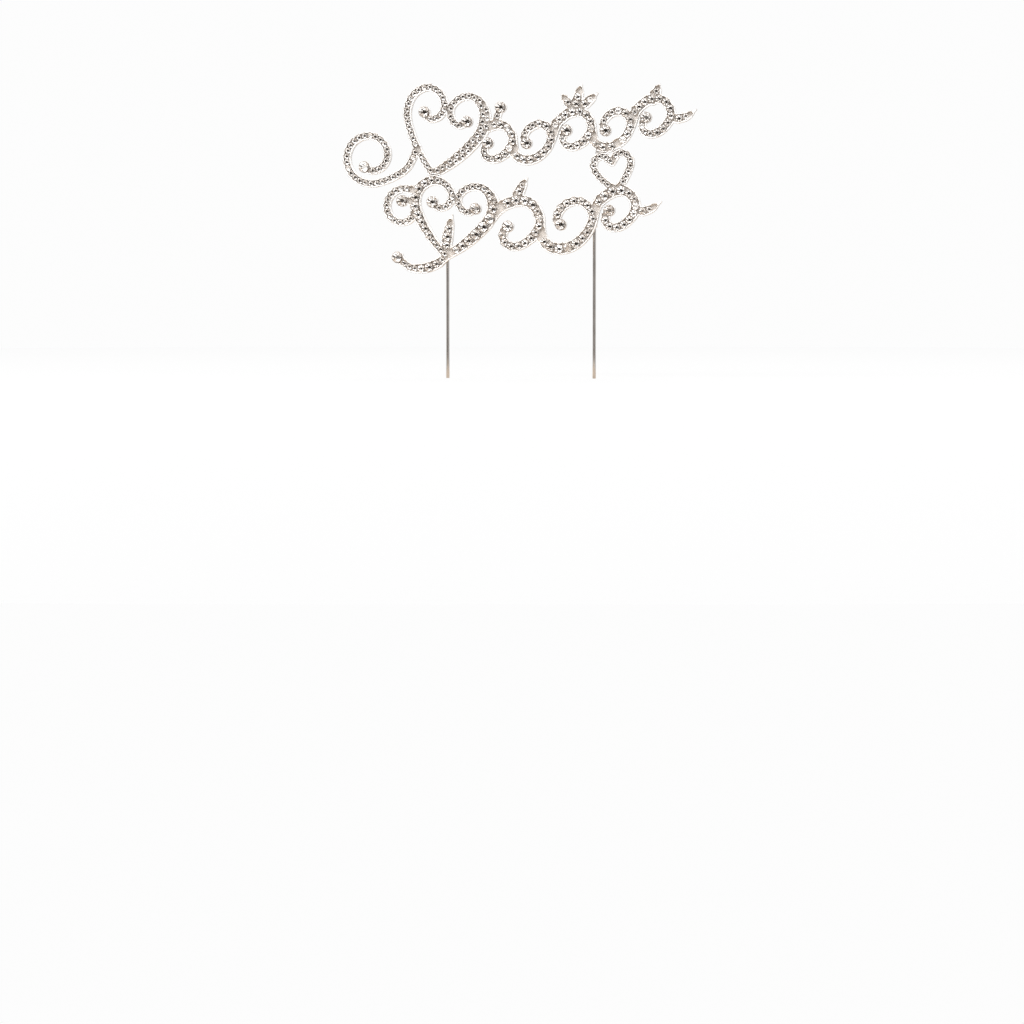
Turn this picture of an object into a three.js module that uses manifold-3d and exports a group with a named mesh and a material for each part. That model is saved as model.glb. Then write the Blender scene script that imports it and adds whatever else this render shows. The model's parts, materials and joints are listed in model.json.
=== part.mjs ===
// Rhinestone topper: a two-tier scroll ornament of plated cast metal on two thin steel stakes.
//
// Each tier is one casting: flat at the back, with a shallow channel in front that follows every
// stroke, and rows of clear rhinestones glued in the channel. The tiers are soldered together at two
// spots on the back. Two short sockets on the back of the lower casting take the push-fit stakes.
//
// Millimetres, Z up. The ornament stands in the XZ plane and faces -Y. The origin is midway between
// the stake axes, at the level where the stakes go into what the topper stands in.
//
// Strokes are drawn flat, X to the right and Y up, then stood up: drawing Y becomes Z and the depth of
// an extrusion runs from the flat back towards -Y.

import * as THREE from 'three';
import { mergeVertices } from 'three/addons/utils/BufferGeometryUtils.js';
import Module from 'manifold-3d';

const wasm = await Module();
wasm.setup();

// Stakes, and how high the ornament stands on them
const stakeSpacing = 68.2;
const lowerHeartLift = 56.2;
const lowerScrollLift = 66.5;
const stakeDiameter = 1.5;
const stakeSunkLength = 42;
const stakePointLength = 5;
const stakeTipDiameter = 0.3;
const stakeTopChamfer = 0.2;

// Castings
const castingDepth = 3;
const channelDepth = 1;
const rimWidth = 0.26;
const seamGap = 0.3;
const strokeTipWidth = 0.5;

// Rhinestones: stock diameters, and how they sit in the channel
const tinyStone = 2;
const smallStone = 2.6;
const mediumStone = 3.3;
const largeStone = 4;
const giantStone = 4.7;
const stoneFit = 0.13;
const leastStoneFit = 0.124;
const stoneGap = 0.08;
const glueWidth = 1.1;
const glueThickness = 0.3;
const leastJoin = 0.015;
const longestGlue = 1.6;
const stoneHeightShare = 0.48;
const tableShare = 0.6;
const cornerShare = 1.15;
const flatShare = 0.42;

// Sockets and solder joints on the back
const socketDepth = 9.5;
const socketWall = 0.6;
const socketEndWall = 1.2;
const stakeFit = 0.13;
const stakeEndGap = 0.4;
const leftMouthAboveTip = 0.5;
const rightMouthBelowJunction = 5;
const solderDiameter = 5.2;
const solderHeight = 1.3;

// Scroll sizes
const spiralRadius = 12.6;
const spiralInnerRadius = 5.4;
const upperHeartWidth = 37;
const upperHeartHeight = 39;
const lowerHeartWidth = 37;
const lowerHeartHeight = 34;
const linkHeartWidth = 18;
const linkHeartDrop = 2.9;
const upperTipLift = 2.8;
const upperScrollOffset = 2.5;
const swashLength = 23;
const upperCurlRadius = 9.2;
const lowerCurlRadius = 12.5;
const lastCurlRadius = 9.8;
const curlEndRadius = 2.9;
const sideScrollRadius = 9.4;
const sideScrollEndRadius = 3.4;
const evenEaseShare = 1;
const curlEaseShare = 0.85;
const spiralEaseShare = 0.8;
const sideScrollEaseShare = 1.1;

// Angles, in degrees
const tierRise = 8.5;
const italicSlant = 14;
const halfTurn = 180;
const curlSweep = 210;
const firstCurlSkip = 26;
const spiralStartAngle = -120;
const spiralSweep = 405;
const sideScrollStartAngle = 62;
const sideScrollSweep = 400;
const upperHeartTilt = -13;
const lowerHeartTilt = -9;

// Fineness of the curves
const finePathSpacing = 0.35;
const lengthSamplesPerPoint = 40;
const turnPerSpiralPoint = 20;
const stoneSearchSpacing = 0.09;
const turnPerStation = 27;
const leastTurn = 2;
const tidyTolerance = 0.01;
const longestStationSpacing = 6;
const stationWidthChange = 0.6;
const roundEndSteps = 5;
const tipSteps = 2;
const roundSides = 16;
const stoneSides = 6;
const solderSteps = 3;
const overrun = 1;

// Sizes that follow from the ones above
const wallAndFit = rimWidth + stoneFit;
const tinyStroke = tinyStone + 2 * wallAndFit;
const thinStroke = smallStone + 2 * wallAndFit;
const mediumStroke = mediumStone + 2 * wallAndFit;
const thickStroke = largeStone + 2 * wallAndFit;
const boldStroke = giantStone + 2 * wallAndFit;
const floorThickness = castingDepth - channelDepth;
const socketBore = stakeDiameter + 2 * stakeFit;
const socketOuter = socketBore + 2 * socketWall;
const castingBack = -socketOuter / 2;
const radians = Math.PI / halfTurn;

// A smooth path through a few points, resampled at even, fine steps
function smoothPath(points) {
  const curve = new THREE.CatmullRomCurve3(
    points.map((point) => new THREE.Vector3(point.x, point.y, 0)), false, 'centripetal');
  curve.arcLengthDivisions = points.length * lengthSamplesPerPoint;
  const count = Math.ceil(curve.getLength() / finePathSpacing);
  return measured(curve.getSpacedPoints(count).map((point) => new THREE.Vector2(point.x, point.y)));
}

// A path keeps its points and the length run up to each of them
function measured(points) {
  const runs = [0];
  for (let i = 1; i < points.length; i += 1) {
    runs.push(runs[i - 1] + points[i].distanceTo(points[i - 1]));
  }
  return { points, runs, length: runs[runs.length - 1] };
}

// The place and direction on a path after a given run
function placeAt(path, run) {
  const last = path.points.length - 1;
  const guess = Math.floor((run / path.length) * last);
  const i = Math.min(Math.max(guess, 0), last - 1);
  const share = (run - path.runs[i]) / (path.runs[i + 1] - path.runs[i]);
  const point = path.points[i].clone().lerp(path.points[i + 1], share);
  const before = path.points[Math.max(i - 1, 0)];
  const after = path.points[Math.min(i + 2, last)];
  const direction = after.clone().sub(before).normalize();
  return { point, direction, left: new THREE.Vector2(-direction.y, direction.x) };
}

// A spiral about a centre; angles in degrees, counter-clockwise positive
function spiralPoints(centre, startRadius, endRadius, startAngle, sweep, easeShare) {
  const count = Math.ceil(Math.abs(sweep) / turnPerSpiralPoint);
  const points = [];
  for (let i = 0; i <= count; i += 1) {
    const share = i / count;
    const radius = startRadius + (endRadius - startRadius) * share ** easeShare;
    const angle = (startAngle + sweep * share) * radians;
    points.push(new THREE.Vector2(
      centre.x + radius * Math.cos(angle),
      centre.y + radius * Math.sin(angle),
    ));
  }
  return points;
}

// Half a scroll heart, point first: up the side, over the lobe and into a curl beside the middle
const heartShares = [
  [0, 0], [0.17, 0.15], [0.36, 0.38], [0.49, 0.63], [0.46, 0.85], [0.31, 0.975],
  [0.14, 0.945], [0.04, 0.8], [0.085, 0.665], [0.195, 0.62], [0.275, 0.685],
];

// Places on a heart's half that other strokes start from or rest on
const [, , heartSideShare, heartWidestShare, , heartLobeShare] = heartShares;

// Half a plain heart, closed at the notch
const plainHeartShares = [
  [0, 0], [0.17, 0.17], [0.38, 0.45], [0.48, 0.72], [0.38, 0.93], [0.19, 0.96], [0, 0.77],
];

// A place on a heart, from shares of its width and height; side is -1 on the left and 1 on the right
function heartSpot(heart, side, [acrossShare, upShare]) {
  const local = new THREE.Vector2(side * acrossShare * heart.width, upShare * heart.height);
  return local.rotateAround(new THREE.Vector2(), heart.tilt * radians).add(heart.tip);
}

function heartHalf(heart, side, shares) {
  return smoothPath(shares.map((share) => heartSpot(heart, side, share)));
}

// A place off an anchor, in shares of a size
function offSpot(anchor, size, [acrossShare, upShare]) {
  return anchor.clone().add(new THREE.Vector2(acrossShare * size, upShare * size));
}

function offPath(anchor, size, shares) {
  return smoothPath(shares.map((share) => offSpot(anchor, size, share)));
}

// One unit of a running scroll: half a turn over (or under) the middle line, then a curl inside it.
// The units of a tier share one slant and one rise, so each leaves the one before along its tangent.
// The first one starts later, inside the stroke that it grows from.
function curlUnit({ start, radii }, order) {
  const side = order % 2 === 0 ? 1 : -1;
  const radius = radii[order];
  const centre = new THREE.Vector2(radiiSpan(radii.slice(0, order)) + radius, 0);
  const arcSweep = order > 0 ? halfTurn : halfTurn - firstCurlSkip;
  const arc = spiralPoints(centre, radius, radius, arcSweep * side, -arcSweep * side, evenEaseShare);
  const curl = spiralPoints(centre, radius, curlEndRadius, 0, -curlSweep * side, curlEaseShare);
  return smoothPath(runningScroll(start, [...arc, ...curl.slice(1)]));
}

function radiiSpan(radii) {
  return radii.reduce((total, radius) => total + 2 * radius, 0);
}

function runningScroll(start, points) {
  return points.map((point) => {
    const slanted = new THREE.Vector2(point.x + point.y * Math.tan(italicSlant * radians), point.y);
    return slanted.rotateAround(new THREE.Vector2(), tierRise * radians).add(start);
  });
}

// Places on a running scroll past its first few units, in shares of the next curl's radius
function scrollSpots({ start, radii }, unitsBefore, shares) {
  const radius = radii[Math.min(unitsBefore, radii.length - 1)];
  const across = radiiSpan(radii.slice(0, unitsBefore));
  return runningScroll(start, shares.map(([acrossShare, upShare]) => (
    new THREE.Vector2(across + acrossShare * radius, upShare * radius))));
}

// Stroke widths along a path: a table of [share of the length, width], eased from one to the next
function widthAlong(table) {
  return (share) => {
    for (let i = 1; i < table.length; i += 1) {
      const [fromShare, fromWidth] = table[i - 1];
      const [toShare, toWidth] = table[i];
      if (share <= toShare) {
        return THREE.MathUtils.lerp(
          fromWidth, toWidth, THREE.MathUtils.smoothstep(share, fromShare, toShare));
      }
    }
    return table[table.length - 1][1];
  };
}

const thinShares = [[0, thinStroke], [1, thinStroke]];
const swellShares = [[0, thinStroke], [0.3, thickStroke], [0.55, thickStroke], [0.8, thinStroke], [1, thinStroke]];
const boldShares = [[0, mediumStroke], [0.22, boldStroke], [0.46, boldStroke], [0.72, thinStroke], [1, thinStroke]];
const curlShares = [
  [0, mediumStroke], [0.2, thickStroke], [0.45, mediumStroke], [0.8, mediumStroke], [1, thinStroke],
];
const boldCurlShares = [
  [0, mediumStroke], [0.2, boldStroke], [0.42, thickStroke], [0.68, mediumStroke], [1, mediumStroke],
];
const leafShares = [[0, mediumStroke], [0.4, boldStroke], [0.7, mediumStroke], [1, strokeTipWidth]];
const sideLeafShares = [[0, mediumStroke], [0.5, thickStroke], [0.68, mediumStroke], [1, strokeTipWidth]];
const tailWidthShares = [[0, thinStroke], [0.35, thickStroke], [0.6, mediumStroke], [1, strokeTipWidth]];

// Routes of the sprigs, in shares of the curl radius that they grow from
const upperTailShares = [[-0.1, 0.1], [0.35, -0.14], [0.9, -0.06], [1.25, 0.15]];
const lowerTailShares = [[-0.1, 0.1], [0.3, -0.12], [0.8, -0.04], [1.2, 0.18]];
const budStemShares = [[1.02, 0.95], [1.12, 1.5], [1.28, 2.3]];
const budLeftLeafShares = [[1.04, 1.15], [0.74, 1.42], [0.3, 1.95]];
const budRightLeafShares = [[1.06, 1.15], [1.55, 1.3], [2.15, 1.72]];
const upperLeafShares = [[1, 0.9], [1.1, 1.25], [1.27, 1.66]];
const lowerLeafShares = [[1, 0.95], [1.1, 1.3], [1.36, 1.75]];
const berryStalkShares = [[1, 1], [1.08, 1.4], [1.22, 1.8]];

// The bud inside the lower heart in shares of its height, and the swash below it in shares of its length
const heartBudShares = [[0, 0.05], [0.02, 0.27], [0.085, 0.55]];
const swashShares = [[0.06, 0.03], [-0.28, -0.21], [-0.7, -0.24], [-0.99, -0.03]];

// Where the left spiral leaves the upper heart, its centre from there and its last bend, in shares of
// its radius; the side scroll's centre from the lower heart; and the top of the link heart's left half
const spiralEndShare = [0.265, 0.265];
const spiralCentreShare = [-1.76, -0.33];
const spiralBendShare = [1.35, -0.45];
const sideScrollCentreShare = [-0.57, -0.23];
const linkLobeShare = [0.27, 0.97];
const crestShares = [[1, 1]];
const dipShares = [[1, -1]];
const startShares = [[0, 0]];

// The large hearts. The lower one has its tip over the left stake; the upper one stands on its left lobe.
const lowerHeart = {
  tip: new THREE.Vector2(-stakeSpacing / 2, lowerHeartLift),
  width: lowerHeartWidth, height: lowerHeartHeight, tilt: lowerHeartTilt,
};
const upperHeart = {
  tip: heartSpot(lowerHeart, -1, heartLobeShare).add(new THREE.Vector2(0, upperTipLift)),
  width: upperHeartWidth, height: upperHeartHeight, tilt: upperHeartTilt,
};

// The running scrolls. The upper one springs from the side of the upper heart; the lower one has the
// junction of its second and third curls over the right stake.
const upperScroll = {
  start: heartSpot(upperHeart, 1, heartSideShare).add(new THREE.Vector2(upperScrollOffset, 0)),
  radii: Array(5).fill(upperCurlRadius),
};
const lowerRadii = [lowerCurlRadius, lowerCurlRadius, lastCurlRadius];
const junctionSpan = radiiSpan(lowerRadii.slice(0, 2)) * Math.cos(tierRise * radians);
const lowerScroll = {
  start: new THREE.Vector2(stakeSpacing / 2 - junctionSpan, lowerScrollLift),
  radii: lowerRadii,
};
const [stakeJunction] = scrollSpots(lowerScroll, 2, startShares);

// The small heart between the tiers, from the last crest of the lower scroll up to a dip of the upper one
const [crestTop] = scrollSpots(lowerScroll, 2, crestShares);
const [dipBottom] = scrollSpots(upperScroll, 3, dipShares);
const linkAxis = dipBottom.clone().sub(crestTop);
const linkHeart = {
  tip: crestTop,
  width: linkHeartWidth,
  height: linkAxis.length() - linkHeartDrop,
  tilt: linkAxis.angle() / radians - halfTurn / 2,
};

// The strokes of the upper tier
function upperStrokes() {
  const spiralEnd = heartSpot(upperHeart, -1, spiralEndShare);
  const spiralCentre = offSpot(spiralEnd, spiralRadius, spiralCentreShare);
  const spiral = [
    ...spiralPoints(
      spiralCentre, spiralInnerRadius, spiralRadius, spiralStartAngle, spiralSweep, spiralEaseShare),
    offSpot(spiralCentre, spiralRadius, spiralBendShare),
    spiralEnd,
  ];
  const strokes = [
    { name: 'left_spiral', path: smoothPath(spiral), widths: thinShares, ball: 'start' },
    { name: 'upper_heart_left', path: heartHalf(upperHeart, -1, heartShares), widths: thinShares, ball: 'end' },
    {
      name: 'upper_heart_right', path: heartHalf(upperHeart, 1, heartShares),
      widths: boldShares, ball: 'end', paired: true,
    },
  ];
  upperScroll.radii.forEach((radius, order) => strokes.push({
    name: `upper_curl_${order + 1}`, path: curlUnit(upperScroll, order), widths: curlShares, ball: 'end',
  }));
  const sprigs = [
    ['upper_tail', 5, tailWidthShares, upperTailShares],
    ['bud_stem', 2, leafShares, budStemShares],
    ['bud_left_leaf', 2, sideLeafShares, budLeftLeafShares],
    ['bud_right_leaf', 2, sideLeafShares, budRightLeafShares],
    ['upper_leaf', 4, leafShares, upperLeafShares],
  ];
  for (const [name, unitsBefore, widths, shares] of sprigs) {
    strokes.push({ name, widths, path: smoothPath(scrollSpots(upperScroll, unitsBefore, shares)) });
  }
  strokes.push({
    name: 'berry_stalk', widths: thinShares, ball: 'end',
    path: smoothPath(scrollSpots(upperScroll, 0, berryStalkShares)),
  });
  return strokes;
}

// The strokes of the lower tier
function lowerStrokes() {
  const sideCentre = offSpot(heartSpot(lowerHeart, -1, heartWidestShare), sideScrollRadius, sideScrollCentreShare);
  const sideScroll = spiralPoints(
    sideCentre, sideScrollRadius, sideScrollEndRadius, sideScrollStartAngle, sideScrollSweep, sideScrollEaseShare);
  const strokes = [
    { name: 'lower_heart_left', path: heartHalf(lowerHeart, -1, heartShares), widths: swellShares, ball: 'end' },
    { name: 'lower_heart_right', path: heartHalf(lowerHeart, 1, heartShares), widths: boldShares, ball: 'end' },
    {
      name: 'heart_bud', widths: leafShares,
      path: offPath(lowerHeart.tip, lowerHeartHeight, heartBudShares),
    },
    { name: 'side_scroll', path: smoothPath(sideScroll), widths: thinShares, ball: 'end' },
    {
      name: 'lower_swash', widths: swellShares, ball: 'end',
      path: offPath(lowerHeart.tip, swashLength, swashShares),
    },
  ];
  lowerScroll.radii.forEach((radius, order) => strokes.push({
    name: `lower_curl_${order + 1}`, path: curlUnit(lowerScroll, order), widths: boldCurlShares, ball: 'end',
  }));
  const sprigs = [
    ['lower_tail', 3, tailWidthShares, lowerTailShares],
    ['lower_leaf', 0, leafShares, lowerLeafShares],
  ];
  for (const [name, unitsBefore, widths, shares] of sprigs) {
    strokes.push({ name, widths, path: smoothPath(scrollSpots(lowerScroll, unitsBefore, shares)) });
  }
  for (const [name, side] of [['link_heart_left', -1], ['link_heart_right', 1]]) {
    strokes.push({ name, path: heartHalf(linkHeart, side, plainHeartShares), widths: thinShares });
  }
  return strokes;
}

// The flat ribbon of a path, as a chain of four-sided cells between stations, with round ends;
// growth widens it all round, or narrows it
function ribbonShapes(stroke, growth, leastWidth) {
  const { path, widths } = stroke;
  const widthAt = widthAlong(widths);
  const runs = stationRuns(path, widthAt, leastWidth);
  const stations = runs.map((run, i) => {
    const { point, left } = placeAt(path, run);
    const half = widthAt(run / path.length) / 2 + growth;
    const bulge = outerBulge(path, runs, i, half);
    const atEnd = i === 0 || i === runs.length - 1;
    const leftBulge = atEnd ? Math.abs(bulge) : Math.max(0, -bulge);
    const rightBulge = atEnd ? Math.abs(bulge) : Math.max(0, bulge);
    return {
      point, half,
      left: point.clone().addScaledVector(left, half + leftBulge),
      right: point.clone().addScaledVector(left, -half - rightBulge),
    };
  });
  gatherCorners(stations, 'left');
  gatherCorners(stations, 'right');
  const cells = stations.slice(1).map((station, i) => cellShape(stations[i], station));
  const first = stations[0];
  const last = stations[stations.length - 1];
  return [halfRound(first.point, first.left, first.half), ...cells, halfRound(last.point, last.right, last.half)];
}

// How far a corner on the outside of a bend stands out, so that the flats between corners touch the
// round outline instead of cutting into the channel; positive on a left turn. At a round end both
// sides stand out alike.
function outerBulge(path, runs, i, half) {
  if (runs.length < 3) return 0;
  const middle = THREE.MathUtils.clamp(i, 1, runs.length - 2);
  const [before, here, after] = runs.slice(middle - 1, middle + 2).map((run) => placeAt(path, run).point);
  const incoming = here.clone().sub(before);
  const outgoing = after.clone().sub(here);
  const turn = Math.atan2(incoming.cross(outgoing), incoming.dot(outgoing));
  if (Math.abs(turn) < leastTurn * radians) return 0;
  const chord = (incoming.length() + outgoing.length()) / 2;
  const bendRadius = chord / (2 * Math.sin(Math.abs(turn) / 2));
  return Math.sign(turn) * (bendRadius + half) * (1 / Math.cos(turn / 2) - 1);
}

// Where a bend is tighter than the ribbon is wide, the corners inside it meet at one point
function gatherCorners(stations, side) {
  for (let i = 1; i < stations.length; i += 1) {
    const [from, to] = [stations[i - 1], stations[i]];
    const forward = to.point.clone().sub(from.point);
    if (to[side].clone().sub(from[side]).dot(forward) > 0) continue;
    const middle = from[side].clone().lerp(to[side], 0.5);
    from[side] = middle;
    to[side] = middle;
  }
}

// One cell; where a bend is tighter than the ribbon is wide, its inner side shrinks to one point
function cellShape(from, to) {
  const forward = to.point.clone().sub(from.point);
  const leftSide = sideOf(from.left, to.left, forward);
  const rightSide = sideOf(from.right, to.right, forward);
  return new THREE.Shape([...rightSide, ...leftSide.reverse()]);
}

function sideOf(from, to, forward) {
  const turnsBack = to.clone().sub(from).dot(forward) <= 0;
  return turnsBack ? [from.clone().lerp(to, 0.5)] : [from, to];
}

// A half-round end, turned counter-clockwise about its centre from one side of the ribbon
function halfRound(centre, from, half) {
  const steps = half < strokeTipWidth ? tipSteps : roundEndSteps;
  const points = [];
  for (let i = 0; i <= steps; i += 1) {
    points.push(from.clone().rotateAround(centre, (Math.PI * i) / steps));
  }
  return new THREE.Shape(points);
}

// Runs along a path where its outline needs a point: where it has turned or its width has changed a
// little, and now and then; it starts and ends where the path is wide enough
function stationRuns(path, widthAt, leastWidth) {
  const wide = path.runs.filter((run) => widthAt(run / path.length) >= leastWidth);
  const end = wide[wide.length - 1];
  const runs = [wide[0]];
  let heading = placeAt(path, wide[0]).direction;
  let width = widthAt(wide[0] / path.length);
  for (const run of wide) {
    const { direction } = placeAt(path, run);
    const turned = Math.abs(Math.acos(Math.min(1, direction.dot(heading)))) / radians;
    const widened = Math.abs(widthAt(run / path.length) - width);
    const sinceLast = run - runs[runs.length - 1];
    if (turned > turnPerStation || widened > stationWidthChange || sinceLast > longestStationSpacing) {
      runs.push(run);
      heading = direction;
      width = widthAt(run / path.length);
    }
  }
  if (runs.length > 1 && end - runs[runs.length - 1] < 2 * finePathSpacing) runs.pop();
  return [...runs, end];
}

// Solids for joining and cutting
function toSolid(geometry) {
  const bare = geometry.clone();
  bare.deleteAttribute('normal');
  bare.deleteAttribute('uv');
  const merged = mergeVertices(bare);
  return new wasm.Manifold(new wasm.Mesh({
    numProp: 3,
    vertProperties: new Float32Array(merged.attributes.position.array),
    triVerts: new Uint32Array(merged.index.array),
  }));
}

function toGeometry(solid) {
  const mesh = solid.getMesh();
  const geometry = new THREE.BufferGeometry();
  geometry.setAttribute('position', new THREE.BufferAttribute(mesh.vertProperties, 3));
  geometry.setIndex(new THREE.BufferAttribute(mesh.triVerts, 1));
  return geometry;
}

function joined(solids) {
  if (solids.length === 1) return solids[0];
  const middle = Math.ceil(solids.length / 2);
  return joined(solids.slice(0, middle)).add(joined(solids.slice(middle)));
}

// Lets faces that now lie in one plane become one face
function tidied(solid) {
  return solid.asOriginal().simplify(tidyTolerance);
}

// A flat shape made solid between two depths, measured from the flat back
function slab(shape, fromDepth, toDepth) {
  const geometry = new THREE.ExtrudeGeometry(shape, { depth: toDepth - fromDepth, bevelEnabled: false });
  geometry.translate(0, 0, fromDepth);
  return toSolid(geometry);
}

function discShape(centre, diameter) {
  const points = [];
  for (let i = 0; i < roundSides; i += 1) {
    const angle = (2 * Math.PI * i) / roundSides;
    points.push(new THREE.Vector2(
      centre.x + (diameter / 2) * Math.cos(angle),
      centre.y + (diameter / 2) * Math.sin(angle),
    ));
  }
  return new THREE.Shape(points);
}

// The ball at the end of a stroke: a round boss with one large stone
function ballCentre(stroke) {
  const { path } = stroke;
  return placeAt(path, stroke.ball === 'start' ? 0 : path.length).point;
}

// The outline solids of a stroke, grown or narrowed all round, between two depths
function strokeSolids(stroke, growth, leastWidth, fromDepth, toDepth) {
  const solids = ribbonShapes(stroke, growth, leastWidth).map((shape) => slab(shape, fromDepth, toDepth));
  if (stroke.ball) {
    solids.push(slab(discShape(ballCentre(stroke), boldStroke + 2 * growth), fromDepth, toDepth));
  }
  return solids;
}

function outlineSolid(strokes, growth, leastWidth, fromDepth, toDepth) {
  return joined(strokes.flatMap((stroke) => (
    strokeSolids(stroke, growth, leastWidth, fromDepth, toDepth))));
}

function lowerCasting(lower) {
  const body = outlineSolid(lower, 0, 0, 0, castingDepth);
  const channel = outlineSolid(lower, -rimWidth, tinyStroke, floorThickness, castingDepth + overrun);
  return tidied(body.subtract(channel));
}

// The upper casting ends just short of the lower one, with a rim wall along the seam
function upperCasting(upper, lower) {
  const body = outlineSolid(upper, 0, 0, 0, castingDepth);
  const channel = outlineSolid(upper, -rimWidth, tinyStroke, floorThickness, castingDepth + overrun);
  const seam = outlineSolid(lower, seamGap, 0, -overrun, castingDepth + 2 * overrun);
  const seamWall = outlineSolid(lower, seamGap + rimWidth, 0, 0, castingDepth + 2 * overrun);
  return tidied(body.subtract(channel.subtract(seamWall)).subtract(seam));
}

// Whether a stock stone fits between the channel walls at a run along a stroke
function stoneFits(stroke, widthAt, run, size) {
  const inset = (size * (cornerShare - 1)) / 2;
  if (Math.min(run, stroke.path.length - run) < inset) return false;
  const ends = [run - size * flatShare, run + size * flatShare].map((end) => end / stroke.path.length);
  return ends.every((end) => widthAt(end) >= size + 2 * (rimWidth + leastStoneFit));
}

// How far the lanes of a channel wide enough for two small stones lie from its middle
function laneOffset(stroke, widthAt, run) {
  if (!stroke.paired) return 0;
  return Math.max(0, widthAt(run / stroke.path.length) / 2 - wallAndFit - smallStone / 2);
}

// Stones along a stroke in order: first the largest that fit, each as close to the last as the gap
// allows, then smaller and smaller ones in the places that are still bare. They are set from the ball
// end of the stroke, where a bare place would show most.
function stonesAlong(stroke, isTaken) {
  const { path } = stroke;
  const widthAt = widthAlong(stroke.widths);
  const stock = stroke.paired ? [smallStone, tinyStone] : [giantStone, largeStone, mediumStone, smallStone, tinyStone];
  const runs = [];
  for (let run = 0; run <= path.length; run += stoneSearchSpacing) runs.push(run);
  if (stroke.ball === 'end') runs.reverse();
  const stones = [];
  const setStones = (sizesAt) => {
    let lane = 1;
    for (const run of runs) {
      const size = sizesAt(run);
      if (!size) continue;
      const { point, left } = placeAt(path, run);
      const centre = point.addScaledVector(left, lane * laneOffset(stroke, widthAt, run));
      const stone = { centre, size, run };
      if (isTaken(stone) || stones.some((set) => tooClose(set, stone, 1, stoneGap))) continue;
      stones.push(stone);
      lane = -lane;
    }
  };
  setStones((run) => stock.find((size) => stoneFits(stroke, widthAt, run, size)));
  for (const size of stock) {
    setStones((run) => stoneFits(stroke, widthAt, run, size) && size);
  }
  return stones.sort((one, other) => one.run - other.run);
}

function tooClose(one, other, sizeShare, gap) {
  return one.centre.distanceTo(other.centre) < (sizeShare * (one.size + other.size)) / 2 + gap;
}

// Whether two stones that follow each other in a channel are near enough for one spot of glue
function canJoin(one, other) {
  return !tooClose(one, other, 1, 0) && tooClose(one, other, 1, longestGlue);
}

// Rows of stones for all strokes: the ball stones first, then each stroke's row, leaving out what would
// touch a stone that is already set or the seam between the castings. A row that is broken by such a
// place goes on as a row of its own, and the longest of a stroke's rows takes the first name. A lone
// stone stays only where it is all that a stroke has.
function stoneRows(strokes, keptClear) {
  const rows = [];
  for (const stroke of strokes.filter((each) => each.ball)) {
    rows.push({ name: `${stroke.name}_ball_stone`, stones: [{ centre: ballCentre(stroke), size: giantStone }] });
  }
  for (const stroke of strokes) {
    const isTaken = (stone) => (
      rows.some((row) => row.stones.some((set) => tooClose(set, stone, cornerShare, stoneGap)))
      || keptClear.some((place) => tooClose(place, stone, 1, 2 * stoneFit)));
    const ownRows = [];
    for (const stone of stonesAlong(stroke, isTaken)) {
      const row = ownRows[ownRows.length - 1];
      const isNext = row && row.stones.slice(-2).some((last) => canJoin(last, stone));
      if (isNext) row.stones.push(stone);
      else ownRows.push({ stones: [stone] });
    }
    ownRows.sort((one, other) => other.stones.length - one.stones.length);
    ownRows.filter((row, i) => i === 0 || row.stones.length > 1).forEach((row, i) => {
      rows.push({ name: `${stroke.name}_stones${i > 0 ? `_${i + 1}` : ''}`, stones: row.stones });
    });
  }
  return rows;
}

// Places along the lower strokes that the upper stones keep clear of
function seamPlaces(lower) {
  return lower.flatMap((stroke) => {
    const { path } = stroke;
    const widthAt = widthAlong(stroke.widths);
    const places = path.runs.map((run) => ({
      centre: placeAt(path, run).point,
      size: widthAt(run / path.length) + 2 * (seamGap + rimWidth),
    }));
    if (stroke.ball) places.push({ centre: ballCentre(stroke), size: boldStroke + 2 * (seamGap + rimWidth) });
    return places;
  });
}

// A cut stone on the channel floor: girdle at the bottom, sloping crown, flat table. In a row its six
// corners reach a little past the round stone, two of them along the row, so that neighbours touch.
function stoneSolid(stone, heading, reachShare) {
  const height = stone.size * stoneHeightShare;
  const corner = (stone.size / 2) * reachShare;
  const geometry = new THREE.CylinderGeometry(corner * tableShare, corner, height, stoneSides);
  geometry.rotateX(Math.PI / 2);
  geometry.rotateZ(heading + Math.PI / 2);
  geometry.translate(stone.centre.x, stone.centre.y, floorThickness + height / 2);
  return toSolid(geometry);
}

// How far a stone reaches from its centre towards a direction
function stoneReach(stone, heading, towards) {
  const cornerStep = (2 * Math.PI) / stoneSides;
  const halfStep = cornerStep / 2;
  const offFlat = THREE.MathUtils.euclideanModulo(towards - heading, cornerStep) - halfStep;
  const flat = (stone.size / 2) * cornerShare * Math.cos(halfStep);
  return flat / Math.cos(offFlat);
}

// The spot of clear glue that joins two stones where a bend opens their corners
function glueSolid(from, to) {
  const direction = to.clone().sub(from).normalize();
  const side = new THREE.Vector2(-direction.y, direction.x).multiplyScalar(glueWidth / 2);
  const shape = new THREE.Shape([
    from.clone().sub(side), to.clone().sub(side), to.clone().add(side), from.clone().add(side),
  ]);
  return slab(shape, floorThickness, floorThickness + glueThickness);
}

function headingBetween(from, to) {
  return Math.atan2(to.y - from.y, to.x - from.x);
}

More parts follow.
